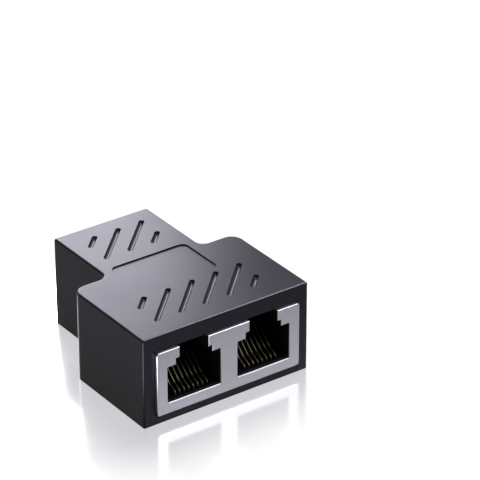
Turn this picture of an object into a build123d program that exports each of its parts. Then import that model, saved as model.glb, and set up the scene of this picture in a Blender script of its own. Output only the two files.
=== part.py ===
from build123d import *

import math
import os

# Ethernet cable splitter: one socket in the neck, two in the wide end.
# Millimetres. X runs across the wide end, Y from the wide end to the neck, Z up from the underside.
# The origin is at the middle of the underside.

# Housing, outside
housing_length = 42.0
housing_height = 18.65
wide_width = 37.2
wide_length = 23.5
neck_width = 21.4
rear_corner_radius = 2.6
neck_root_radius = 1.8
end_corner_radius = 0.42
edge_radius = 0.4
foot_chamfer = 0.1

# Housing, walls and base
side_wall = 1.8
roof_wall = 2.2
rim_wall = 1.0
cover_thickness = 1.4
inner_corner_radius = 0.4
fit_gap = 0.08
wide_side_gap = 0.72
neck_side_gap = 0.65

# Slanting grooves in the roof, round in section, with tapered ends
slot_radius = 0.55
slot_depth = 0.5
slot_taper_share = 0.58
slot_least_length = 2.2
slot_pitch = 5.4
slot_angle = 45.0
wide_row_half_width = 12.5
wide_row_length = 8.75
wide_row_margin = 4.55
wide_row_count = 6
neck_row_half_width = 7.1
neck_row_length = 8.8
neck_row_margin = 3.85
neck_row_count = 4

# Shallow panel between the two rows of slots
panel_width = 17.2
panel_length = 11.4
panel_margin = 14.6
panel_depth = 0.25
panel_corner_radius = 1.4

# Sockets, as the front of a shield shows them; the pair's spacing is a share of their shield's width
port_share = 0.48694
opening_width = 11.9
opening_low = 4.3
opening_height = 7.6
step_width = 8.1
step_height = 1.3
latch_width = 6.45
opening_corner_radius = 0.2

# Folded shields
sheet = 0.3
shield_low = 2.1
shield_reach = 0.8
shield_corner_radius = 0.5
shield_edge_chamfer = 0.08
latch_notch_depth = 3.0
lock_width = 2.4
lock_height = 3.0
lock_setback = 8.0
tab_width = 1.6
tab_low = 8.4

# Moulded socket bodies
body_gap = 0.05
cavity_depth = 11.9
cavity_floor = 4.7
lip_thickness = 0.5
nose_setback = 2.6
channel_width = 8.7
channel_floor = 3.3
rear_pocket_width = 9.8
rear_pocket_height = 12.4
pad_radius = 1.5
pad_height = 1.0
peg_radius = 0.75
peg_level = 10.2
pad_inset = 1.8

# Contact inserts
insert_gap = 0.05
comb_thickness = 2.6
comb_slot_low = 7.4
comb_slot_high = 11.35
comb_slot_depth = 1.6
comb_slot_width = 0.6
groove_depth = 0.45

# Spring wires
wire_count = 8
wire_pitch = 1.016
wire_width = 0.45
wire_thickness = 0.3
wire_level = 3.55
wire_row_spacing = 2.54
hairpin_setback = 1.15
hairpin_rise = 1.55
hairpin_radius = 0.55
spring_reach = 5.5
spring_rise = 4.4
spring_end_rise = 6.0
spring_bend_radius = 1.6
jog_radius = 0.5
jog_length = 0.7
tail_reach = 0.7

# Circuit board
board_thickness = 1.2
board_low = 2.5
board_roof_gap = 0.4
board_side_gap = 0.2
board_rear_gap = 1.3
wire_hole_radius = 0.42
wire_hole_sides = 8
hole_gap = 0.1

# Ribs and hooks that hold the inside
rib_thickness = 1.0
rib_gap = 0.05
roof_rib_height = 1.0
board_rib_reach = 1.5
board_rib_low = 11.8
hook_width = 4.0
hook_thickness = 0.75
hook_height = 7.0
hook_setback = 0.45
barb_reach = 0.35
barb_height = 1.4
hook_side_gap = 0.3
wide_hook_margin = 10.0
neck_hook_margin = 9.0

half_length = housing_length / 2
shoulder = -half_length + wide_length
roof_level = housing_height - roof_wall

# The sockets keep the plug's size, and the shields round them fill the housing
opening_high = opening_low + opening_height
step_high = opening_high + step_height
shield_high = roof_level - roof_rib_height - rib_gap
shield_height = shield_high - shield_low
dual_shield_width = wide_width - 2 * (side_wall + wide_side_gap)
single_shield_width = neck_width - 2 * (side_wall + neck_side_gap)
shield_border = (single_shield_width - opening_width) / 2
port_pitch = port_share * dual_shield_width
dual_port_places = (-port_pitch / 2, port_pitch / 2)
single_port_places = (0,)

# The board stands before the wide end's rear wall, with a socket body backed up to each of its faces
dual_front = -half_length - shield_reach
single_front = half_length + shield_reach
board_back = shoulder - side_wall - board_rear_gap
board_front = board_back - board_thickness
shield_depth = board_front - pad_height - dual_front
single_depth = single_front - board_back - pad_height
through_board = pad_height + board_thickness

# How far a cutter reaches past what it cuts, and an added form into what carries it
overcut = 1.0
join = 0.05


def across(outline, start, stop):
    """Solid with an outline drawn across the sockets, between two depths."""
    return extrude(Pos(0, start, 0) * (Plane.XZ * outline), amount=stop - start, dir=(0, 1, 0))


def upright(outline, low, high):
    """Solid with a plan outline, between two heights."""
    return extrude(Pos(0, 0, low) * outline, amount=high - low)


def block(x_range, y_range, z_range):
    """Rectangular solid between limits."""
    sizes = [limit[1] - limit[0] for limit in (x_range, y_range, z_range)]
    centre = [(limit[0] + limit[1]) / 2 for limit in (x_range, y_range, z_range)]
    return Pos(*centre) * Box(*sizes)


def both_sides(shape):
    """A shape and its mirror image on the other side of the housing."""
    return shape + mirror(shape, about=Plane.YZ)


def tee_plan(inset):
    """Plan outline of the housing, moved in from its outside by a distance."""
    wide = wide_width / 2 - inset
    neck = neck_width / 2 - inset
    front = -half_length + inset
    back = half_length - inset
    turn = shoulder - inset
    right_side = [(wide, front), (wide, turn), (neck, turn), (neck, back)]
    left_side = [(-x, y) for x, y in reversed(right_side)]
    plan = make_face(Polyline(*right_side, *left_side, close=True))
    rows = plan.vertices().group_by(Axis.Y)
    by_side = rows[1].sort_by(Axis.X)
    end_corners = rows[0] + rows[-1]
    rear_corners = [by_side[0], by_side[-1]]
    roots = by_side[1:-1]
    plan = fillet(rear_corners, max(rear_corner_radius - inset, inner_corner_radius))
    plan = fillet(matching(plan, roots), neck_root_radius + inset)
    return fillet(matching(plan, end_corners), max(end_corner_radius - inset, inner_corner_radius))


def matching(shape, old_vertices):
    """The vertices of a shape that lie where those of its earlier form lay."""
    return [
        vertex
        for vertex in shape.vertices()
        for old in old_vertices
        if (vertex.center() - old.center()).length < fit_gap
    ]


def rounded_block():
    """The housing's outside, rounded round its top and chamfered round its foot."""
    body = upright(tee_plan(0), 0, housing_height)
    body = fillet(body.edges().group_by(Axis.Z)[-1], edge_radius)
    return chamfer(body.edges().group_by(Axis.Z)[0], foot_chamfer)


def round_bar(length):
    """Round bar along X with tapered ends, in the size of a groove."""
    profile = Pos(0, slot_radius / 2) * Rectangle(length, slot_radius)
    outer_corners = profile.vertices().group_by(Axis.Y)[-1]
    return revolve(chamfer(outer_corners, slot_radius * slot_taper_share), axis=Axis.X)


def slot_row(half_width, start, length, count):
    """Cutters for one row of slanting grooves, each ended by the row's outline."""
    slope = math.tan(math.radians(slot_angle))
    cutters = Part()
    for index in range(count):
        middle = (index - (count - 1) / 2) * slot_pitch
        low = max(-length / 2, (-half_width - middle) * slope)
        high = min(length / 2, (half_width - middle) * slope)
        slot_length = (high - low) / math.sin(math.radians(slot_angle))
        if slot_length < slot_least_length:
            continue
        centre_x = middle + (low + high) / 2 / slope
        centre_y = start + (length + low + high) / 2
        axis_level = housing_height - slot_depth + slot_radius
        cutters += Pos(centre_x, centre_y, axis_level) * Rot(0, 0, slot_angle) * round_bar(slot_length)
    return cutters


def roof_cutters():
    """Both rows of grooves and the shallow panel between them."""
    wide_row = slot_row(wide_row_half_width, -half_length + wide_row_margin, wide_row_length, wide_row_count)
    neck_start = half_length - neck_row_margin - neck_row_length
    neck_row = slot_row(neck_row_half_width, neck_start, neck_row_length, neck_row_count)
    panel_middle = -half_length + panel_margin + panel_length / 2
    panel = Pos(0, panel_middle, 0) * RectangleRounded(panel_width, panel_length, panel_corner_radius)
    return wide_row + neck_row + upright(panel, housing_height - panel_depth, housing_height + overcut)


def end_window(shield_width, face, inward):
    """Cutter for the way out of a shield, open to the underside."""
    half = shield_width / 2 + fit_gap
    inner = face + inward * (side_wall + overcut)
    outer = face - inward * overcut
    return block((-half, half), sorted((inner, outer)), (-overcut, shield_high + fit_gap))


def hook_pocket(wall_outside, middle):
    """Cutter in a side wall for one snap hook, with the deeper catch for its barb."""
    inner = wall_outside - side_wall
    half = hook_width / 2 + hook_side_gap
    top = cover_thickness + hook_height
    face = inner + hook_setback + body_gap
    catch_low = top - barb_height - body_gap
    along = (middle - half, middle + half)
    pocket = block((inner - overcut, face), along, (cover_thickness, top + hook_side_gap))
    catch = block((inner - overcut, face + barb_reach), along, (catch_low, top + hook_side_gap))
    return pocket + catch


def roof_rib(x, start, stop, foot):
    """Rib under the roof that holds a piece down."""
    return block((x - rib_thickness / 2, x + rib_thickness / 2), (start, stop), (foot, roof_level + join))


def shell_ribs():
    """Ribs inside the casing: over the shields, and pairs that hold the board's ends."""
    foot = shield_high + rib_gap
    dual_rib_x = dual_shield_width / 2 - shield_border
    single_rib_x = single_shield_width / 2 - shield_border
    inside_front = -half_length + side_wall - join
    shield_back = dual_front + shield_depth
    ribs = both_sides(roof_rib(dual_rib_x, inside_front, shield_back, foot))
    ribs += roof_rib(0, inside_front, shield_back, foot)
    inside_back = half_length - side_wall + join
    ribs += both_sides(roof_rib(single_rib_x, single_front - single_depth, inside_back, foot))
    wall_inside = wide_width / 2 - side_wall
    reach = (wall_inside - board_rib_reach, wall_inside + join)
    heights = (board_rib_low, roof_level + join)
    ribs += both_sides(block(reach, (shield_back + rib_gap, board_front - rib_gap), heights))
    return ribs + both_sides(block(reach, (board_back + rib_gap, shoulder - side_wall + join), heights))


def make_upper_shell():
    """One-piece moulded casing, open underneath."""
    shell = rounded_block() - roof_cutters()
    shell -= upright(tee_plan(side_wall), -overcut, roof_level)
    shell += shell_ribs()
    shell -= upright(tee_plan(rim_wall), -overcut, cover_thickness)
    shell -= end_window(dual_shield_width, -half_length, 1)
    shell -= end_window(single_shield_width, half_length, -1)
    shell -= both_sides(hook_pocket(wide_width / 2, -half_length + wide_hook_margin))
    return shell - both_sides(hook_pocket(neck_width / 2, half_length - neck_hook_margin))


def snap_hook(wall_outside, middle):
    """Upright snap hook on the base, with its barb turned outwards."""
    face = wall_outside - side_wall + hook_setback
    back = face - hook_thickness
    top = cover_thickness + hook_height
    profile = [
        (back, cover_thickness - join),
        (face, cover_thickness - join),
        (face, top - barb_height),
        (face + barb_reach, top - barb_height + barb_reach / 2),
        (face, top),
        (back, top),
    ]
    return across(make_face(Polyline(*profile, close=True)), middle - hook_width / 2, middle + hook_width / 2)


def tongue(shield_width, face, inward):
    """Tongue of the base that closes an end window below its shield."""
    half = shield_width / 2
    limits = sorted((face - inward * overcut, face + inward * (side_wall + rib_thickness)))
    return block((-half, half), limits, (-overcut, shield_low - fit_gap))


def cradle_rib(x, start, stop):
    """Rib on the base that a shield rests on."""
    return block((x - rib_thickness / 2, x + rib_thickness / 2), (start, stop), (0, shield_low - rib_gap))


def make_base_cover():
    """Closing plate, set into the casing's rim."""
    cover = upright(tee_plan(rim_wall + fit_gap), 0, cover_thickness)
    cover += tongue(dual_shield_width, -half_length, 1) + tongue(single_shield_width, half_length, -1)
    inner_front = -half_length + side_wall
    shield_back = dual_front + shield_depth
    dual_rib_x = dual_shield_width / 2 - shield_border
    single_rib_x = single_shield_width / 2 - shield_border
    cover += both_sides(cradle_rib(dual_rib_x, inner_front, shield_back)) + cradle_rib(0, inner_front, shield_back)
    cover += both_sides(cradle_rib(single_rib_x, single_front - single_depth, half_length - side_wall))
    foot_x = (dual_rib_x - rib_thickness, dual_rib_x + rib_thickness)
    foot_y = (board_front - rib_thickness / 2, board_back + rib_thickness / 2)
    cover += both_sides(block(foot_x, foot_y, (0, board_low - rib_gap)))
    cover += both_sides(snap_hook(wide_width / 2, -half_length + wide_hook_margin))
    cover += both_sides(snap_hook(neck_width / 2, half_length - neck_hook_margin))
    return cover & rounded_block()


def port_outline(x, margin):
    """Plug opening with its two latch steps, drawn in by a margin."""
    floor = opening_low + margin
    opening = Pos(x, (floor + opening_high) / 2) * RectangleRounded(
        opening_width - 2 * margin, opening_high - floor, opening_corner_radius
    )
    step = Pos(x, (floor + step_high) / 2) * Rectangle(step_width - 2 * margin, step_high - floor)
    latch_top = shield_high + overcut
    latch = Pos(x, (floor + latch_top) / 2) * Rectangle(latch_width - 2 * margin, latch_top - floor)
    return opening + step, latch


def make_shield(width, places, depth):
    """Folded sheet round a socket body, open at the back, in the socket's own frame."""
    middle = shield_low + shield_height / 2
    outer = Pos(0, middle) * RectangleRounded(width, shield_height, shield_corner_radius)
    inner = Pos(0, middle) * RectangleRounded(
        width - 2 * sheet, shield_height - 2 * sheet, max(shield_corner_radius - sheet, sheet / 2)
    )
    shield = across(outer, 0, depth) - across(inner, sheet, depth + overcut)
    for x in places:
        opening, latch = port_outline(x, 0)
        shield -= across(opening, -overcut, sheet + overcut)
        shield -= across(latch, -overcut, latch_notch_depth)
    front_face = shield.faces().sort_by(Axis.Y)[0]
    shield = chamfer(front_face.edges(), shield_edge_chamfer)
    side = (width / 2 - sheet - overcut, width / 2 + overcut)
    lock_middle = shield_low + shield_height / 2
    lock_along = (lock_setback, lock_setback + lock_width)
    lock_heights = (lock_middle - lock_height / 2, lock_middle + lock_height / 2)
    shield -= both_sides(block(side, lock_along, lock_heights))
    tab_x = (width / 2 - sheet, width / 2)
    tab_y = (depth - join, depth + through_board + tail_reach)
    return shield + both_sides(block(tab_x, tab_y, (tab_low, tab_low + tab_width)))


def body_cavity(x, depth):
    """Everything that is hollow round one port of a socket body."""
    opening, latch = port_outline(x, body_gap)
    floor_cut = Pos(x, cavity_floor / 2) * Rectangle(opening_width + overcut, cavity_floor)
    cavity = across(opening - floor_cut, 0, cavity_depth) + across(latch - floor_cut, 0, cavity_depth)
    half_channel = channel_width / 2
    half_pocket = rear_pocket_width / 2
    lip_back = sheet + body_gap + lip_thickness
    channel = block((x - half_channel, x + half_channel), (lip_back, depth + overcut), (channel_floor, cavity_floor))
    pocket = block(
        (x - half_pocket, x + half_pocket), (cavity_depth, depth + overcut), (channel_floor, rear_pocket_height)
    )
    return cavity + channel + pocket


def board_pads(width, depth):
    """Pads on a body's back that stand off the board, with a peg through it on each side."""
    x = width / 2 - sheet - pad_inset
    level = Pos(x, peg_level)
    pad = across(level * Circle(pad_radius), depth - join, depth + pad_height)
    peg = across(level * Circle(peg_radius), depth, depth + through_board + tail_reach / 2)
    return both_sides(pad + peg)


def make_body(width, places, depth):
    """Moulded body that fills a shield, in the socket's own frame."""
    inset = sheet + body_gap
    middle = shield_low + shield_height / 2
    outline = Pos(0, middle) * RectangleRounded(
        width - 2 * inset, shield_height - 2 * inset, max(shield_corner_radius - inset, sheet / 2)
    )
    body = across(outline, inset, depth)
    for x in places:
        body -= body_cavity(x, depth)
    side = width / 2 - inset
    ramp = [
        (side - join, lock_setback + body_gap),
        (side, lock_setback + body_gap),
        (side + sheet, lock_setback + lock_width - body_gap),
        (side - join, lock_setback + lock_width - body_gap),
    ]
    lock_low = middle - lock_height / 2 + body_gap
    lock_high = middle + lock_height / 2 - body_gap
    body += both_sides(upright(make_face(Polyline(*ramp, close=True)), lock_low, lock_high))
    return body + board_pads(width, depth)


def wire_place(index):
    """Distance of a wire from the middle of its socket."""
    return (index - (wire_count - 1) / 2) * wire_pitch


def make_insert():
    """Comb that carries eight wires: a floor with grooves below and a wall with slots in front."""
    half_floor = channel_width / 2 - insert_gap
    half_comb = rear_pocket_width / 2 - insert_gap
    low = channel_floor + insert_gap
    comb_back = cavity_depth + comb_thickness
    comb_high = rear_pocket_height - insert_gap
    insert = block((-half_floor, half_floor), (nose_setback, comb_back), (low, cavity_floor))
    insert += block((-half_comb, half_comb), (cavity_depth + insert_gap, comb_back), (low, comb_high))
    half_wire = wire_width / 2 + insert_gap
    for index in range(wire_count):
        x = wire_place(index)
        groove_high = low + groove_depth
        insert -= block((x - half_wire, x + half_wire), (0, comb_back + overcut), (0, groove_high))
        half_slot = comb_slot_width / 2
        insert -= block(
            (x - half_slot, x + half_slot),
            (cavity_depth, cavity_depth + comb_slot_depth),
            (comb_slot_low, comb_slot_high),
        )
    return insert


def make_wire(index, depth):
    """Bent spring wire: tail in the board, run under the insert, hairpin, and spring into the comb."""
    tail_end = depth + through_board + tail_reach
    jog_back = cavity_depth + comb_thickness + 2 * jog_length
    tail_level = wire_level + wire_row_spacing * (index % 2)
    front = hairpin_setback
    turn_high = wire_level + hairpin_rise
    run = [(tail_end, wire_level), (front, wire_level)]
    radii = []
    if index % 2:
        run = [(tail_end, tail_level), (jog_back, tail_level), (jog_back - jog_length, wire_level), (front, wire_level)]
        radii = [jog_radius, jog_radius]
    spring = [
        (front, turn_high),
        (front + spring_reach, turn_high + spring_rise),
        (cavity_depth + comb_slot_depth / 2, turn_high + spring_end_rise),
    ]
    radii += [hairpin_radius, hairpin_radius, spring_bend_radius]
    path = FilletPolyline(*run, *spring, radius=radii)
    strip = Plane.YZ * trace(path, wire_thickness)
    return extrude(Pos(wire_place(index) - wire_width / 2, 0, 0) * strip, amount=wire_width)


def make_circuit_board():
    """Upright board between the back-to-back sockets, drilled for tails, tabs and pegs."""
    half = wide_width / 2 - side_wall - board_side_gap
    board = block((-half, half), (board_front, board_back), (board_low, roof_level - board_roof_gap))
    tails = Sketch()
    for place, facing in ((dual_port_places[0], 1), (dual_port_places[1], 1), (single_port_places[0], -1)):
        for index in range(wire_count):
            level = wire_level + wire_row_spacing * (index % 2)
            tails += Pos(place + facing * wire_place(index), level) * RegularPolygon(wire_hole_radius, wire_hole_sides, major_radius=False)
    for width in (dual_shield_width, single_shield_width):
        tab_x = width / 2 - sheet / 2
        slot_size = (sheet + 2 * hole_gap, tab_width + 2 * hole_gap)
        peg_x = width / 2 - sheet - pad_inset
        for side in (-1, 1):
            tails += Pos(side * tab_x, tab_low + tab_width / 2) * Rectangle(*slot_size)
            tails += Pos(side * peg_x, peg_level) * Circle(peg_radius + hole_gap)
    return board - across(tails, board_front - overcut, board_back + overcut)


def at_dual(shape, x=0):
    """Place a shape from a socket's own frame in the wide end."""
    return Pos(x, dual_front, 0) * shape


def at_single(shape):
    """Place a shape from a socket's own frame in the neck's end."""
    return Pos(0, single_front, 0) * Rot(0, 0, 180) * shape


def all_parts():
    """Every piece by its name."""
    parts = {
        "upper_shell": make_upper_shell(),
        "base_cover": make_base_cover(),
        "circuit_board": make_circuit_board(),
        "dual_port_shield": at_dual(make_shield(dual_shield_width, dual_port_places, shield_depth)),
        "dual_port_body": at_dual(make_body(dual_shield_width, dual_port_places, shield_depth)),
        "single_port_shield": at_single(make_shield(single_shield_width, single_port_places, single_depth)),
        "single_port_body": at_single(make_body(single_shield_width, single_port_places, single_depth)),
        "single_contact_insert": at_single(make_insert()),
    }
    for side, x in zip(("left", "right"), dual_port_places):
        parts[f"{side}_contact_insert"] = at_dual(make_insert(), x)
        for index in range(wire_count):
            parts[f"{side}_contact_{index + 1}"] = at_dual(make_wire(index, shield_depth), x)
    for index in range(wire_count):
        parts[f"single_contact_{index + 1}"] = at_single(make_wire(index, single_depth))
    return parts


os.makedirs("parts", exist_ok=True)
for name, part in all_parts().items():
    export_step(part, f"parts/{name}.step")
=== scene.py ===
import math

import bpy
from bpy.props import FloatProperty, FloatVectorProperty, IntProperty, PointerProperty
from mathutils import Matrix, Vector


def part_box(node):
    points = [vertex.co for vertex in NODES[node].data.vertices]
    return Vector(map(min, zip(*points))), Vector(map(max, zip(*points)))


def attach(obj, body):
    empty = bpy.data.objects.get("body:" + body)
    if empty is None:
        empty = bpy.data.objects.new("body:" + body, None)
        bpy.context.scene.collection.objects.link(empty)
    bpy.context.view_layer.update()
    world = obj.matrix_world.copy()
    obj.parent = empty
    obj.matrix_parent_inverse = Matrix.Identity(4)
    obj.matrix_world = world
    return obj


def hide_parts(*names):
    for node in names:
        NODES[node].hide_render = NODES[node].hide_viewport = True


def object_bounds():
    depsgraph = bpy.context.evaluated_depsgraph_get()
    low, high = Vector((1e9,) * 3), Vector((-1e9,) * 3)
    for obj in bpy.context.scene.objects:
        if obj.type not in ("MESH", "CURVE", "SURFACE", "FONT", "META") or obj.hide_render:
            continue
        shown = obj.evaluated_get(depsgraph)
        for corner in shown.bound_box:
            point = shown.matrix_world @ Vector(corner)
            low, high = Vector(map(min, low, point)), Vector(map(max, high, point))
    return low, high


bl_info = {
    "name": "Ethernet splitter finish",
    "version": (1, 0, 0),
    "blender": (4, 5, 0),
    "location": "View3D > Sidebar > Splitter",
    "description": "Finishes a one-to-two ethernet cable splitter and lights it on a pale floor",
    "category": "Object",
}

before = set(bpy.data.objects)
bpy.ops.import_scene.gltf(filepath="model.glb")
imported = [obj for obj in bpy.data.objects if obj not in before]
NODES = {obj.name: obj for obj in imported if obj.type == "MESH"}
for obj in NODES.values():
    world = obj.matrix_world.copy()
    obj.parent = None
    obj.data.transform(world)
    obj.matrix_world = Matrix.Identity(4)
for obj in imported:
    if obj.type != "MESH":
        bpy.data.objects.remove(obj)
CAD_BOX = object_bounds()

HOUSING_NODES = ("upper_shell", "base_cover")
SHIELD_NODES = ("dual_port_shield", "single_port_shield")
SOCKETS = ("left", "right", "single")
SOCKET_NODES = ("dual_port_body", "single_port_body", *(f"{name}_contact_insert" for name in SOCKETS))
BOARD_NODES = ("circuit_board",)
WIRES_IN_SOCKET = 8
MILLIMETRE = 0.001

FLOW_SCALE = 70.0
STAIN_SCALE = 260.0
ROLLING_STRETCH = (0.04, 1.0, 1.0)
BUMP_STRENGTH = 0.35
MOULDED_RELIEF = 0.006 * MILLIMETRE
PLATED_RELIEF = 0.001 * MILLIMETRE
WHITE = (1.0, 1.0, 1.0, 1.0)


class SplitterPlastic(bpy.types.PropertyGroup):
    """Colours, gloss and grain of the moulded pieces and the board."""

    housing_color: FloatVectorProperty(
        name="Housing", description="Colour of the moulded casing and its base",
        subtype="COLOR", min=0, max=1, default=(0.0068, 0.0064, 0.0100))
    housing_roughness: FloatProperty(
        name="Housing roughness", description="How far the casing spreads a reflection",
        min=0, max=1, default=0.315)
    housing_mirror: FloatProperty(
        name="Housing reflection", description="Strength of the casing's reflections",
        min=0, max=1, default=0.24)
    mirror_tint: FloatVectorProperty(
        name="Reflection tint", description="Colour that the casing gives to what it reflects",
        subtype="COLOR", min=0, max=1, default=(0.92, 0.90, 1.0))
    socket_color: FloatVectorProperty(
        name="Sockets", description="Colour of the moulded socket bodies and combs",
        subtype="COLOR", min=0, max=1, default=(0.004, 0.004, 0.005))
    socket_roughness: FloatProperty(
        name="Socket roughness", description="How far the socket bodies spread a reflection",
        min=0, max=1, default=0.5)
    socket_mirror: FloatProperty(
        name="Socket reflection", description="Strength of the socket bodies' reflections",
        min=0, max=1, default=0.12)
    board_color: FloatVectorProperty(
        name="Board", description="Colour of the lacquer on the circuit board",
        subtype="COLOR", min=0, max=1, default=(0.02, 0.11, 0.05))
    board_roughness: FloatProperty(
        name="Board roughness", description="How far the board's lacquer spreads a reflection",
        min=0, max=1, default=0.3)
    grain_size: FloatProperty(
        name="Grain", description="Size of the finest spots of the moulded surface",
        unit="LENGTH", default=0.35 * MILLIMETRE)


class SplitterMetal(bpy.types.PropertyGroup):
    """Colours and gloss of the plated pieces. The contacts' gold is darkened far below bright gold as painted
    shade of the sockets' dark insides.
    """

    plating_color: FloatVectorProperty(
        name="Shield plating", description="Colour of the nickel on the folded shields",
        subtype="COLOR", min=0, max=1, default=(0.55, 0.54, 0.58))
    plating_roughness: FloatProperty(
        name="Shield roughness", description="How far the nickel spreads a reflection",
        min=0, max=1, default=0.31)
    # Painted shade: the contacts' gold is set to a dark olive to stand in for the shade inside the sockets.
    contact_color_with_painted_shade: FloatVectorProperty(
        name="Contact plating", description="Colour of the gold on the spring wires",
        subtype="COLOR", min=0, max=1, default=(0.095, 0.083, 0.048))
    contact_roughness: FloatProperty(
        name="Contact roughness", description="How far the gold spreads a reflection",
        min=0, max=1, default=0.28)
    streak_size: FloatProperty(
        name="Streaks", description="Width of the rolling streaks in the sheet",
        unit="LENGTH", default=0.12 * MILLIMETRE)


class SplitterWires(bpy.types.PropertyGroup):
    """Bends of a spring wire, measured from the foot of its hairpin."""

    thickness: FloatProperty(
        name="Thickness", description="Of the wire, seen from the side",
        unit="LENGTH", default=0.30 * MILLIMETRE)
    hairpin_rise: FloatProperty(
        name="Hairpin rise", description="From the run below the comb to the spring's start",
        unit="LENGTH", default=1.55 * MILLIMETRE)
    lead: FloatVectorProperty(
        name="Lead", description="Depth and height of the first bend past the hairpin",
        size=2, unit="LENGTH", default=(1.9 * MILLIMETRE, 1.0 * MILLIMETRE))
    crest: FloatVectorProperty(
        name="Crest", description="Depth and height of the bend towards the comb",
        size=2, unit="LENGTH", default=(5.5 * MILLIMETRE, 4.4 * MILLIMETRE))
    tip: FloatVectorProperty(
        name="Tip", description="Depth and height of the free end in the comb",
        size=2, unit="LENGTH", default=(11.5 * MILLIMETRE, 6.0 * MILLIMETRE))
    jog_start: FloatProperty(
        name="Jog", description="Depth at which every other tail rises to the upper row of holes",
        unit="LENGTH", default=14.05 * MILLIMETRE)
    jog_length: FloatProperty(
        name="Jog length", description="Depth that the rise takes", unit="LENGTH", default=0.7 * MILLIMETRE)
    row_spacing: FloatProperty(
        name="Rows", description="Height between the two rows of tails",
        unit="LENGTH", default=2.54 * MILLIMETRE)
    tight_radius: FloatProperty(
        name="Tight bend", description="Bending radius of hairpin and jog",
        unit="LENGTH", default=0.55 * MILLIMETRE)
    soft_radius: FloatProperty(
        name="Soft bend", description="Bending radius along the spring",
        unit="LENGTH", default=2.2 * MILLIMETRE)
    edge_radius: FloatProperty(
        name="Edge", description="Rounding of the wire's section",
        unit="LENGTH", default=0.09 * MILLIMETRE)
    steps: IntProperty(name="Steps", description="Points along each bend", default=8)


class SplitterStage(bpy.types.PropertyGroup):
    """Camera, floor and surroundings."""

    azimuth: FloatProperty(
        name="Azimuth", description="Angle of the view round the object",
        subtype="ANGLE", default=math.radians(-35.76))
    elevation: FloatProperty(
        name="Elevation", description="Angle of the view above the floor",
        subtype="ANGLE", default=math.radians(28.73))
    distance: FloatProperty(
        name="Distance", description="From the camera to its aim", unit="LENGTH", default=0.5614)
    aim: FloatVectorProperty(
        name="Aim", description="Point at the middle of the picture",
        subtype="TRANSLATION", unit="LENGTH", default=(0.01558, -0.00351, 0.02078))
    lens: FloatProperty(name="Lens", description="Focal length for a sensor 36 mm wide", default=222.2)
    floor_color: FloatVectorProperty(
        name="Floor", description="Colour of the floor where light falls on it",
        subtype="COLOR", min=0, max=1, default=(0.08, 0.08, 0.08))
    floor_glow: FloatProperty(
        name="Floor glow", description="What the floor adds of its own, so that it stays white", default=0.9)
    floor_bounce: FloatProperty(
        name="Floor bounce", description="What the floor sends to the object's sides", default=0.32)
    mirror_reach: FloatProperty(
        name="Reflection reach", description="Distance from the object at which its reflection has faded",
        unit="LENGTH", default=22 * MILLIMETRE)
    mirror_roughness: FloatProperty(
        name="Reflection roughness", description="How far the floor spreads a reflection",
        min=0, max=1, default=0.14)
    veil_color: FloatVectorProperty(
        name="Reflection veil", description="Colour that lies over the object's reflection",
        subtype="COLOR", min=0, max=1, default=(0.97, 0.96, 1.0))
    floor_size: FloatProperty(
        name="Floor size", description="Length of the floor's sides", unit="LENGTH", default=6.0)
    floor_gap: FloatProperty(
        name="Floor gap", description="From the object's base down to the floor",
        unit="LENGTH", default=0.02 * MILLIMETRE)
    surroundings: FloatProperty(
        name="Surroundings", description="Light that reaches the object from all round", default=0.25)
    mirrored_white: FloatProperty(
        name="Mirrored white", description="Brightness of the pale band that the object and the floor mirror",
        default=0.40)
    mirrored_dark: FloatProperty(
        name="Mirrored dark", description="Brightness of the surroundings above and below that band",
        default=0.10)
    band_half: FloatProperty(
        name="Pale band", description="Where the band starts to fade, as a sine above and below its middle",
        default=0.14)
    band_reach: FloatProperty(
        name="Pale band's end", description="Where the band has faded, as a sine above and below its middle",
        default=0.34)


class SplitterLamps(bpy.types.PropertyGroup):
    """Lamps, three placed from the middle of the object's top and one beside its left corner."""

    color: FloatVectorProperty(
        name="Lamps", description="Colour of the lamps",
        subtype="COLOR", min=0, max=1, default=(0.92, 0.90, 1.0))
    sheen_distance: FloatProperty(
        name="Sheen distance", description="From the top to the lamp that it mirrors",
        unit="LENGTH", default=0.20)
    sheen_offset: FloatProperty(
        name="Sheen offset", description="How far that lamp stands to the left", unit="LENGTH", default=0.045)
    sheen_drop: FloatProperty(
        name="Sheen drop", description="How far that lamp is lowered", unit="LENGTH", default=0.035)
    sheen_size: FloatVectorProperty(
        name="Sheen size", description="Width and height of that lamp",
        size=2, unit="LENGTH", default=(0.09, 0.12))
    sheen_radiance: FloatProperty(name="Sheen brightness", description="Brightness of that lamp", default=9.6)
    edge_place: FloatVectorProperty(
        name="Edge light", description="Place of the lamp that draws the casing's edges, from the top",
        subtype="TRANSLATION", unit="LENGTH", default=(0.15, 0.025, 0.26))
    edge_size: FloatVectorProperty(
        name="Edge light size", description="Width and height of that lamp",
        size=2, unit="LENGTH", default=(0.13, 0.12))
    edge_radiance: FloatProperty(
        name="Edge light brightness", description="Brightness of that lamp", default=32.0)
    rim_place: FloatVectorProperty(
        name="Rim light", description="Place of the weaker lamp for the shields' rims, from the top",
        subtype="TRANSLATION", unit="LENGTH", default=(0.14, -0.13, 0.22))
    rim_size: FloatVectorProperty(
        name="Rim light size", description="Width and height of that lamp",
        size=2, unit="LENGTH", default=(0.14, 0.12))
    rim_radiance: FloatProperty(
        name="Rim light brightness", description="Brightness of that lamp", default=6.0)
    card_place: FloatVectorProperty(
        name="Card", description="Place of the glowing card beside the left corner, which faces up",
        subtype="TRANSLATION", unit="LENGTH", default=(-0.038, -0.036, 0.0005))
    card_size: FloatVectorProperty(
        name="Card size", description="Width and length of the card",
        size=2, unit="LENGTH", default=(0.016, 0.030))
    card_radiance: FloatProperty(name="Card brightness", description="Brightness of the card", default=9.0)


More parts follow.
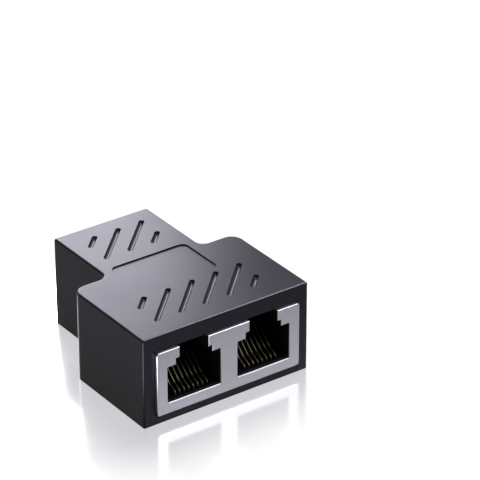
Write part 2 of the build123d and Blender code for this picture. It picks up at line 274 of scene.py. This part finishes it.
def scene_tree(name, kind, inputs, outputs):
    """Node group with named sockets, and its input and output nodes."""
    tree = bpy.data.node_groups.new(name, kind)
    for label, socket_type, value in inputs:
        socket = tree.interface.new_socket(label, in_out="INPUT", socket_type=socket_type)
        if value is not None:
            socket.default_value = value
    for label, socket_type in outputs:
        tree.interface.new_socket(label, in_out="OUTPUT", socket_type=socket_type)
    return tree, tree.nodes.new("NodeGroupInput"), tree.nodes.new("NodeGroupOutput")


def add_node(tree, kind, links=(), **settings):
    """Node with its settings made and its inputs joined or filled."""
    node = tree.nodes.new(kind)
    for name, value in settings.items():
        setattr(node, name, value)
    for socket, value in dict(links).items():
        if isinstance(value, bpy.types.NodeSocket):
            tree.links.new(value, node.inputs[socket])
        else:
            node.inputs[socket].default_value = value
    return node


def moulded_group():
    """Moulded plastic: fine spark-eroded grain, slow flow variation and faint colour drift."""
    tree, given, made = scene_tree(
        "moulded_surface", "ShaderNodeTree",
        [("Position", "NodeSocketVector", None), ("Color", "NodeSocketColor", None),
         ("Roughness", "NodeSocketFloat", 0.35), ("Texture Scale", "NodeSocketFloat", 3000.0)],
        [("Color", "NodeSocketColor"), ("Roughness", "NodeSocketFloat"), ("Height", "NodeSocketFloat")])
    grain = add_node(tree, "ShaderNodeTexNoise", {
        "Vector": given.outputs["Position"], "Scale": given.outputs["Texture Scale"],
        "Detail": 3.0, "Roughness": 0.6})
    flow = add_node(tree, "ShaderNodeTexNoise", {
        "Vector": given.outputs["Position"], "Scale": FLOW_SCALE, "Detail": 2.0, "Roughness": 0.5})
    shade = add_node(tree, "ShaderNodeMapRange", {
        "Value": flow.outputs["Fac"], "From Min": 0.3, "From Max": 0.7, "To Min": 0.88, "To Max": 1.12})
    tint = add_node(tree, "ShaderNodeVectorMath", {
        0: given.outputs["Color"], "Scale": shade.outputs["Result"]}, operation="SCALE")
    blend = add_node(tree, "ShaderNodeMath", {
        0: grain.outputs["Fac"], 1: flow.outputs["Fac"]}, operation="ADD")
    spread = add_node(tree, "ShaderNodeMapRange", {
        "Value": blend.outputs["Value"], "From Min": 0.6, "From Max": 1.4, "To Min": -0.03, "To Max": 0.03})
    gloss = add_node(tree, "ShaderNodeMath", {
        0: given.outputs["Roughness"], 1: spread.outputs["Result"]}, operation="ADD", use_clamp=True)
    tree.links.new(tint.outputs["Vector"], made.inputs["Color"])
    tree.links.new(gloss.outputs["Value"], made.inputs["Roughness"])
    tree.links.new(grain.outputs["Fac"], made.inputs["Height"])
    return tree


def rolled_group():
    """Rolled and plated metal: long fine streaks and small cloudy stains in the gloss."""
    tree, given, made = scene_tree(
        "rolled_metal", "ShaderNodeTree",
        [("Position", "NodeSocketVector", None), ("Color", "NodeSocketColor", None),
         ("Roughness", "NodeSocketFloat", 0.25), ("Texture Scale", "NodeSocketFloat", 8000.0)],
        [("Color", "NodeSocketColor"), ("Roughness", "NodeSocketFloat"), ("Height", "NodeSocketFloat")])
    drawn = add_node(tree, "ShaderNodeVectorMath", {
        0: given.outputs["Position"], 1: ROLLING_STRETCH}, operation="MULTIPLY")
    streak = add_node(tree, "ShaderNodeTexNoise", {
        "Vector": drawn.outputs["Vector"], "Scale": given.outputs["Texture Scale"],
        "Detail": 3.0, "Roughness": 0.55})
    cloud = add_node(tree, "ShaderNodeTexNoise", {
        "Vector": given.outputs["Position"], "Scale": STAIN_SCALE, "Detail": 3.0, "Roughness": 0.5})
    shade = add_node(tree, "ShaderNodeMapRange", {
        "Value": streak.outputs["Fac"], "From Min": 0.25, "From Max": 0.75, "To Min": 0.97, "To Max": 1.03})
    tint = add_node(tree, "ShaderNodeVectorMath", {
        0: given.outputs["Color"], "Scale": shade.outputs["Result"]}, operation="SCALE")
    spread = add_node(tree, "ShaderNodeMapRange", {
        "Value": cloud.outputs["Fac"], "From Min": 0.3, "From Max": 0.7, "To Min": -0.015, "To Max": 0.02})
    gloss = add_node(tree, "ShaderNodeMath", {
        0: given.outputs["Roughness"], 1: spread.outputs["Result"]}, operation="ADD", use_clamp=True)
    tree.links.new(tint.outputs["Vector"], made.inputs["Color"])
    tree.links.new(gloss.outputs["Value"], made.inputs["Roughness"])
    tree.links.new(streak.outputs["Fac"], made.inputs["Height"])
    return tree


def shared_group(name, builder):
    """A shared shader group, built the first time that it is asked for."""
    return bpy.data.node_groups.get(name) or builder()


def surface_material(name, texture, color, roughness, spot_size, relief, constants):
    """Material whose colour, gloss and bump come from a shared group, with constants on the shader itself."""
    material = bpy.data.materials.new(name)
    material.use_nodes = True
    tree = material.node_tree
    shader = tree.nodes["Principled BSDF"]
    place = add_node(tree, "ShaderNodeTexCoord")
    group = add_node(tree, "ShaderNodeGroup", {
        "Position": place.outputs["Object"], "Color": (*color, 1.0), "Roughness": roughness,
        "Texture Scale": 1 / spot_size}, node_tree=texture)
    bump = add_node(tree, "ShaderNodeBump", {
        "Height": group.outputs["Height"], "Strength": BUMP_STRENGTH, "Distance": relief})
    tree.links.new(group.outputs["Color"], shader.inputs["Base Color"])
    tree.links.new(group.outputs["Roughness"], shader.inputs["Roughness"])
    tree.links.new(bump.outputs["Normal"], shader.inputs["Normal"])
    for socket, value in constants.items():
        shader.inputs[socket].default_value = value
    material.diffuse_color = (*color, 1.0)
    return material


def moulded_material(name, color, roughness, grain_size, constants):
    """Moulded plastic of one colour."""
    texture = shared_group("moulded_surface", moulded_group)
    return surface_material(name, texture, color, roughness, grain_size, MOULDED_RELIEF, constants)


def plated_material(name, color, roughness, streak_size):
    """Plated metal of one colour."""
    texture = shared_group("rolled_metal", rolled_group)
    return surface_material(name, texture, color, roughness, streak_size, PLATED_RELIEF, {"Metallic": 1.0})


def dress(nodes, material):
    """Give CAD nodes a finish."""
    for name in nodes:
        slots = NODES[name].data.materials
        slots.clear()
        slots.append(material)


class SPLITTER_OT_housing(bpy.types.Operator):
    """Finish the casing and its base"""

    bl_idname = "splitter.housing"
    bl_label = "Housing"

    def execute(self, context):
        look = context.scene.splitter_plastic
        dress(HOUSING_NODES, moulded_material(
            "black_moulding", look.housing_color, look.housing_roughness, look.grain_size,
            {"Specular IOR Level": look.housing_mirror, "Specular Tint": (*look.mirror_tint, 1.0)}))
        return {"FINISHED"}


class SPLITTER_OT_shields(bpy.types.Operator):
    """Finish the folded shields"""

    bl_idname = "splitter.shields"
    bl_label = "Shields"

    def execute(self, context):
        look = context.scene.splitter_metal
        dress(SHIELD_NODES, plated_material(
            "nickel_plate", look.plating_color, look.plating_roughness, look.streak_size))
        return {"FINISHED"}


class SPLITTER_OT_sockets(bpy.types.Operator):
    """Finish the socket bodies, their combs and the board"""

    bl_idname = "splitter.sockets"
    bl_label = "Sockets"

    def execute(self, context):
        look = context.scene.splitter_plastic
        dress(SOCKET_NODES, moulded_material(
            "socket_moulding", look.socket_color, look.socket_roughness, look.grain_size,
            {"Specular IOR Level": look.socket_mirror}))
        dress(BOARD_NODES, moulded_material(
            "board_mask", look.board_color, look.board_roughness, look.grain_size, {}))
        return {"FINISHED"}


def spring_wire_tree():
    """Sweeps a rounded wire along the edges it is given, with a bend of the stated radius at each point."""
    tree, given, made = scene_tree(
        "spring_wire", "GeometryNodeTree",
        [("Route", "NodeSocketGeometry", None), ("Width", "NodeSocketFloat", 0.45 * MILLIMETRE),
         ("Thickness", "NodeSocketFloat", 0.3 * MILLIMETRE),
         ("Edge Radius", "NodeSocketFloat", 0.09 * MILLIMETRE),
         ("Bend Steps", "NodeSocketInt", 8), ("Material", "NodeSocketMaterial", None)],
        [("Wire", "NodeSocketGeometry")])
    route = add_node(tree, "GeometryNodeMeshToCurve", {"Mesh": given.outputs["Route"]})
    radius = add_node(tree, "GeometryNodeInputNamedAttribute", {"Name": "bend_radius"}, data_type="FLOAT")
    bent = add_node(tree, "GeometryNodeFilletCurve", {
        "Curve": route.outputs["Curve"], "Count": given.outputs["Bend Steps"],
        "Radius": radius.outputs["Attribute"], "Limit Radius": True}, mode="POLY")
    section = add_node(tree, "GeometryNodeCurvePrimitiveQuadrilateral", {
        "Width": given.outputs["Thickness"], "Height": given.outputs["Width"]})
    rounded = add_node(tree, "GeometryNodeFilletCurve", {
        "Curve": section.outputs["Curve"], "Count": 3, "Radius": given.outputs["Edge Radius"]}, mode="POLY")
    swept = add_node(tree, "GeometryNodeCurveToMesh", {
        "Curve": bent.outputs["Curve"], "Profile Curve": rounded.outputs["Curve"], "Fill Caps": True})
    smooth = add_node(tree, "GeometryNodeSetShadeSmooth", {"Geometry": swept.outputs["Mesh"]})
    whole = add_node(tree, "GeometryNodeRealizeInstances", {"Geometry": smooth.outputs["Geometry"]})
    plated = add_node(tree, "GeometryNodeSetMaterial", {
        "Geometry": whole.outputs["Geometry"], "Material": given.outputs["Material"]})
    tree.links.new(plated.outputs["Geometry"], made.inputs["Wire"])
    return tree


def wire_route(look, node, index):
    """Corners of one wire's middle line, with the bending radius at each."""
    low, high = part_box(node)
    middle = (low.x + high.x) / 2
    faces_front = abs(low.y) > abs(high.y)
    start, stop = (low.y, high.y) if faces_front else (high.y, low.y)
    inward = 1 if faces_front else -1
    foot = start + inward * look.thickness / 2
    level = low.z + look.thickness / 2
    rise = level + look.hairpin_rise
    raised = index % 2 * look.row_spacing
    corners = [(abs(stop - foot), level + raised, 0.0)]
    if raised:
        corners += [
            (look.jog_start + look.jog_length, level + raised, look.tight_radius),
            (look.jog_start, level, look.tight_radius),
        ]
    corners += [(0.0, level, look.tight_radius), (0.0, rise, look.tight_radius)]
    corners += [(depth, rise + height, look.soft_radius) for depth, height in (look.lead, look.crest)]
    corners.append((look.tip[0], rise + look.tip[1], 0.0))
    points = [(middle, foot + inward * depth, height) for depth, height, radius in corners]
    return points, [radius for depth, height, radius in corners]


def grown_mesh(name, mesh, tree, values):
    """Object whose mesh is what a node tree makes of a given mesh, with no modifier left on it."""
    piece = bpy.data.objects.new(name, mesh)
    bpy.context.scene.collection.objects.link(piece)
    modifier = piece.modifiers.new(name, "NODES")
    modifier.node_group = tree
    for socket in tree.interface.items_tree:
        if socket.in_out == "INPUT" and socket.name in values:
            modifier[socket.identifier] = values[socket.name]
    piece.update_tag()
    graph = bpy.context.evaluated_depsgraph_get()
    grown = bpy.data.meshes.new_from_object(piece.evaluated_get(graph))
    piece.modifiers.remove(modifier)
    piece.data = grown
    return piece


class SPLITTER_OT_wires(bpy.types.Operator):
    """Bend the spring wires of the three sockets"""

    bl_idname = "splitter.wires"
    bl_label = "Spring wires"

    def execute(self, context):
        look = context.scene.splitter_wires
        metal = context.scene.splitter_metal
        # The spring wires' gold carries painted shade: its colour is darkened for the sockets' dark insides.
        gold = plated_material("gold_plate_with_painted_shade", metal.contact_color_with_painted_shade, metal.contact_roughness, metal.streak_size)
        tree = spring_wire_tree()
        for socket in SOCKETS:
            for index in range(WIRES_IN_SOCKET):
                node = f"{socket}_contact_{index + 1}"
                low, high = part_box(node)
                points, radii = wire_route(look, node, index)
                route = bpy.data.meshes.new(f"{node}_route")
                route.from_pydata(points, [(place, place + 1) for place in range(len(points) - 1)], [])
                route.attributes.new("bend_radius", "FLOAT", "POINT").data.foreach_set("value", radii)
                wire = grown_mesh(f"{node}_wire", route, tree, {
                    "Width": high.x - low.x, "Thickness": look.thickness, "Edge Radius": look.edge_radius,
                    "Bend Steps": look.steps, "Material": gold})
                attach(wire, "root")
                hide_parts(node)
        return {"FINISHED"}


def casing_plan():
    """The two rectangles of the casing's T-shaped plan, each as a half width, a front and a back."""
    low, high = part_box("upper_shell")
    points = [vertex.co for vertex in NODES["upper_shell"].data.vertices]
    neck_half = max(point.x for point in points if point.y > 0.9 * high.y)
    shoulder = max(point.y for point in points if point.x > 0.9 * high.x)
    return (high.x, low.y, shoulder), (neck_half, low.y, high.y)


def footprint_fade(tree, reach):
    """Falls from one under the object to nothing at a distance from its plan."""
    place = add_node(tree, "ShaderNodeTexCoord")
    gaps = []
    for half_x, low_y, high_y in casing_plan():
        middle = add_node(tree, "ShaderNodeVectorMath", {
            0: place.outputs["Object"], 1: (0.0, (low_y + high_y) / 2, 0.0)}, operation="SUBTRACT")
        size = add_node(tree, "ShaderNodeVectorMath", {0: middle.outputs["Vector"]}, operation="ABSOLUTE")
        beyond = add_node(tree, "ShaderNodeVectorMath", {
            0: size.outputs["Vector"], 1: (half_x, (high_y - low_y) / 2, 1.0)}, operation="SUBTRACT")
        outside = add_node(tree, "ShaderNodeVectorMath", {
            0: beyond.outputs["Vector"], 1: (0.0, 0.0, 0.0)}, operation="MAXIMUM")
        gaps.append(add_node(
            tree, "ShaderNodeVectorMath", {0: outside.outputs["Vector"]}, operation="LENGTH"))
    gap = add_node(tree, "ShaderNodeMath", {
        0: gaps[0].outputs["Value"], 1: gaps[1].outputs["Value"]}, operation="MINIMUM")
    fade = add_node(tree, "ShaderNodeMapRange", {
        "Value": gap.outputs["Value"], "From Min": 0.0, "From Max": reach, "To Min": 1.0, "To Max": 0.0},
        interpolation_type="SMOOTHSTEP")
    return fade.outputs["Result"]


def floor_material(look):
    """White floor that mirrors the object, keeps its shadow, lights its sides and is clear from below."""
    material = bpy.data.materials.new("floor")
    material.use_nodes = True
    tree = material.node_tree
    tree.nodes.remove(tree.nodes["Principled BSDF"])
    path = add_node(tree, "ShaderNodeLightPath")
    strength = add_node(tree, "ShaderNodeMapRange", {
        "Value": path.outputs["Is Camera Ray"], "To Min": look.floor_bounce, "To Max": look.floor_glow})
    glow = add_node(tree, "ShaderNodeEmission", {"Strength": strength.outputs["Result"]})
    matt = add_node(tree, "ShaderNodeBsdfDiffuse", {"Color": (*look.floor_color, 1.0)})
    body = add_node(tree, "ShaderNodeAddShader", {0: glow.outputs["Emission"], 1: matt.outputs["BSDF"]})
    mirror = add_node(tree, "ShaderNodeBsdfAnisotropic", {
        "Color": WHITE, "Roughness": look.mirror_roughness})
    rest = add_node(tree, "ShaderNodeMath", {
        0: path.outputs["Is Camera Ray"], 1: 1.0 - look.mirrored_white}, operation="MULTIPLY")
    veil = add_node(tree, "ShaderNodeEmission", {
        "Color": (*look.veil_color, 1.0), "Strength": rest.outputs["Value"]})
    veiled = add_node(tree, "ShaderNodeAddShader", {0: mirror.outputs["BSDF"], 1: veil.outputs["Emission"]})
    mixed = add_node(tree, "ShaderNodeMixShader", {
        0: footprint_fade(tree, look.mirror_reach), 1: body.outputs["Shader"], 2: veiled.outputs["Shader"]})
    side = add_node(tree, "ShaderNodeNewGeometry")
    clear = add_node(tree, "ShaderNodeBsdfTransparent")
    upper = add_node(tree, "ShaderNodeMixShader", {
        0: side.outputs["Backfacing"], 1: mixed.outputs["Shader"], 2: clear.outputs["BSDF"]})
    tree.links.new(upper.outputs["Shader"], tree.nodes["Material Output"].inputs["Surface"])
    return material


def pale_floor(look):
    """Wide floor, a hair below the object's base so that the two don't share a plane."""
    half = look.floor_size / 2
    level = CAD_BOX[0].z - look.floor_gap
    mesh = bpy.data.meshes.new("floor")
    corners = [(-half, -half, level), (half, -half, level), (half, half, level), (-half, half, level)]
    mesh.from_pydata(corners, [], [(0, 1, 2, 3)])
    mesh.materials.append(floor_material(look))
    floor = bpy.data.objects.new("floor", mesh)
    bpy.context.scene.collection.objects.link(floor)
    return floor


def white_world(look):
    """White surroundings to the camera, a dimmer pale band to what mirrors, and an even low light."""
    world = bpy.data.worlds.new("surroundings")
    bpy.context.scene.world = world
    world.use_nodes = True
    tree = world.node_tree
    path = add_node(tree, "ShaderNodeLightPath")
    direction = add_node(tree, "ShaderNodeTexCoord")
    height = add_node(tree, "ShaderNodeSeparateXYZ", {"Vector": direction.outputs["Generated"]})
    away = add_node(tree, "ShaderNodeMath", {
        0: height.outputs["Z"], 1: math.sin(look.elevation)}, operation="SUBTRACT")
    band = add_node(tree, "ShaderNodeMath", {0: away.outputs["Value"]}, operation="ABSOLUTE")
    white = add_node(tree, "ShaderNodeMapRange", {
        "Value": band.outputs["Value"], "From Min": look.band_half, "From Max": look.band_reach,
        "To Min": look.mirrored_white, "To Max": look.mirrored_dark}, interpolation_type="SMOOTHSTEP")
    mirrored = add_node(tree, "ShaderNodeMapRange", {
        "Value": path.outputs["Is Glossy Ray"],
        "To Min": look.surroundings, "To Max": white.outputs["Result"]})
    strength = add_node(tree, "ShaderNodeMapRange", {
        "Value": path.outputs["Is Camera Ray"], "To Min": mirrored.outputs["Result"], "To Max": 1.0})
    background = tree.nodes["Background"]
    background.inputs["Color"].default_value = WHITE
    tree.links.new(strength.outputs["Result"], background.inputs["Strength"])


def soft_lamp(name, place, aim, size, radiance, color):
    """Rectangular lamp of an even brightness that faces a point and that the camera doesn't see."""
    light = bpy.data.lights.new(name, "AREA")
    light.shape = "RECTANGLE"
    light.size, light.size_y = size
    light.energy = radiance * math.pi * size[0] * size[1]
    light.color = color
    lamp = bpy.data.objects.new(name, light)
    lamp.location = place
    lamp.rotation_euler = (Vector(aim) - Vector(place)).to_track_quat("-Z", "Y").to_euler()
    lamp.visible_camera = False
    bpy.context.scene.collection.objects.link(lamp)


def view_direction(azimuth, elevation):
    """Unit vector from the aim to the camera."""
    level = math.cos(elevation)
    return Vector((math.sin(azimuth) * level, -math.cos(azimuth) * level, math.sin(elevation)))


def hang_lamps(lamps, azimuth, toward):
    """The lamp that the top mirrors, two that draw edges and rims, and the card beside the left corner."""
    top = Vector((0.0, 0.0, CAD_BOX[1].z))
    sideways = Vector((math.cos(azimuth), math.sin(azimuth), 0.0))
    mirrored = Vector((-toward.x, -toward.y, toward.z))
    lowered = Vector((0.0, 0.0, -lamps.sheen_drop))
    sheen_place = top + lamps.sheen_distance * mirrored - lamps.sheen_offset * sideways + lowered
    edge_place = top + Vector(lamps.edge_place)
    rim_place = top + Vector(lamps.rim_place)
    card_place = Vector(lamps.card_place)
    above_card = card_place + Vector((0.0, 0.0, 1.0))
    soft_lamp("sheen", sheen_place, top, lamps.sheen_size, lamps.sheen_radiance, lamps.color)
    soft_lamp("edge_light", edge_place, top, lamps.edge_size, lamps.edge_radiance, lamps.color)
    soft_lamp("rim_light", rim_place, top, lamps.rim_size, lamps.rim_radiance, lamps.color)
    soft_lamp("corner_card", card_place, above_card, lamps.card_size, lamps.card_radiance, lamps.color)


def place_camera(look, toward):
    """Camera that looks at its aim from the stated distance."""
    camera_data = bpy.data.cameras.new("camera")
    camera_data.lens = look.lens
    camera = bpy.data.objects.new("camera", camera_data)
    camera.location = Vector(look.aim) + toward * look.distance
    camera.rotation_euler = toward.to_track_quat("Z", "Y").to_euler()
    bpy.context.scene.collection.objects.link(camera)
    bpy.context.scene.camera = camera


class SPLITTER_OT_stage(bpy.types.Operator):
    """Set up the floor, lamps and camera"""

    bl_idname = "splitter.stage"
    bl_label = "Stage"

    def execute(self, context):
        look = context.scene.splitter_stage
        context.scene.view_settings.view_transform = "Standard"
        pale_floor(look)
        white_world(look)
        toward = view_direction(look.azimuth, look.elevation)
        hang_lamps(context.scene.splitter_lamps, look.azimuth, toward)
        place_camera(look, toward)
        return {"FINISHED"}


class SPLITTER_PT_panel(bpy.types.Panel):
    """Lists the pieces and the stage"""

    bl_idname = "SPLITTER_PT_panel"
    bl_label = "Ethernet splitter"
    bl_space_type = "VIEW_3D"
    bl_region_type = "UI"
    bl_category = "Splitter"

    def draw(self, context):
        for operator in OPERATORS:
            self.layout.operator(operator.bl_idname)
        for group in PROPERTY_GROUPS:
            settings = getattr(context.scene, group)
            for name in settings.__annotations__:
                self.layout.prop(settings, name)


OPERATORS = (
    SPLITTER_OT_housing,
    SPLITTER_OT_shields,
    SPLITTER_OT_sockets,
    SPLITTER_OT_wires,
    SPLITTER_OT_stage,
)
PROPERTY_GROUPS = {
    "splitter_plastic": SplitterPlastic,
    "splitter_metal": SplitterMetal,
    "splitter_wires": SplitterWires,
    "splitter_stage": SplitterStage,
    "splitter_lamps": SplitterLamps,
}


def register():
    for group in PROPERTY_GROUPS.values():
        bpy.utils.register_class(group)
    for scene_class in (*OPERATORS, SPLITTER_PT_panel):
        bpy.utils.register_class(scene_class)
    for name, group in PROPERTY_GROUPS.items():
        setattr(bpy.types.Scene, name, PointerProperty(type=group))


def unregister():
    for name in PROPERTY_GROUPS:
        delattr(bpy.types.Scene, name)
    for scene_class in (SPLITTER_PT_panel, *reversed(OPERATORS)):
        bpy.utils.unregister_class(scene_class)
    for group in reversed(list(PROPERTY_GROUPS.values())):
        bpy.utils.unregister_class(group)


def main():
    register()
    bpy.ops.splitter.housing()
    bpy.ops.splitter.shields()
    bpy.ops.splitter.sockets()
    bpy.ops.splitter.wires()
    bpy.ops.splitter.stage()


if __name__ == "__main__":
    main()
